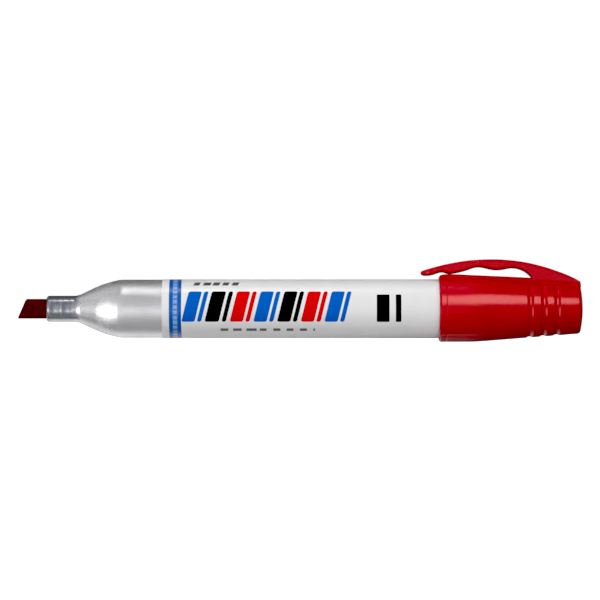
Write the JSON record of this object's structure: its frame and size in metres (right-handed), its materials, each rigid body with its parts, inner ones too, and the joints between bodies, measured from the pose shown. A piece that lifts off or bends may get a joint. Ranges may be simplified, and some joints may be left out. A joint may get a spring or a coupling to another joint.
{
  "type": "felt tip marker",
  "caption": "Felt tip marker: aluminium barrel with printed label, crimped nozzle and oblique felt nib, and a moulded pull-off cap with pocket clip posted on the tail.",
  "frame": {"origin": "on the barrel axis at the middle of the label", "axes": "+X along the barrel axis from the nib towards the cap, +Z towards the clip, Y = 0 is the mirror plane"},
  "size_m": [0.157, 0.0184, 0.023],
  "materials": {
    "barrel_aluminium": "satin",
    "label_film": "gloss",
    "ink_felt": "matte",
    "reservoir_fibre": "matte",
    "reservoir_film": "gloss",
    "plug_plastic": "satin",
    "cap_plastic": "gloss",
    "seal_plastic": "satin"
  },
  "bodies": {
    "barrel_body": {"barrel": "barrel_aluminium", "barrel_label": "label_film", "felt_nib": "ink_felt", "ink_reservoir_core": "reservoir_fibre", "ink_reservoir_wrap": "reservoir_film", "rear_plug": "plug_plastic"},
    "seal_body": {"cap_inner_seal": "seal_plastic"},
    "cap_body": {"cap_shell": "cap_plastic"},
    "clip_body": {"pocket_clip": "cap_plastic"}
  },
  "joints": [
    {"name": "cap_pull", "type": "slide", "parent": "barrel_body", "child": "seal_body", "axis": [1, 0, 0], "range_m": [0, 0.03]},
    {"name": "cap_twist", "type": "hinge", "parent": "seal_body", "child": "cap_body", "pos_m": [0.06, 0, 0], "axis": [1, 0, 0], "continuous": true},
    {"name": "clip_flex", "type": "hinge", "parent": "cap_body", "child": "clip_body", "pos_m": [0.0636, 0, 0.01125], "axis": [0, 1, 0], "range_deg": [0, 7]}
  ]
}
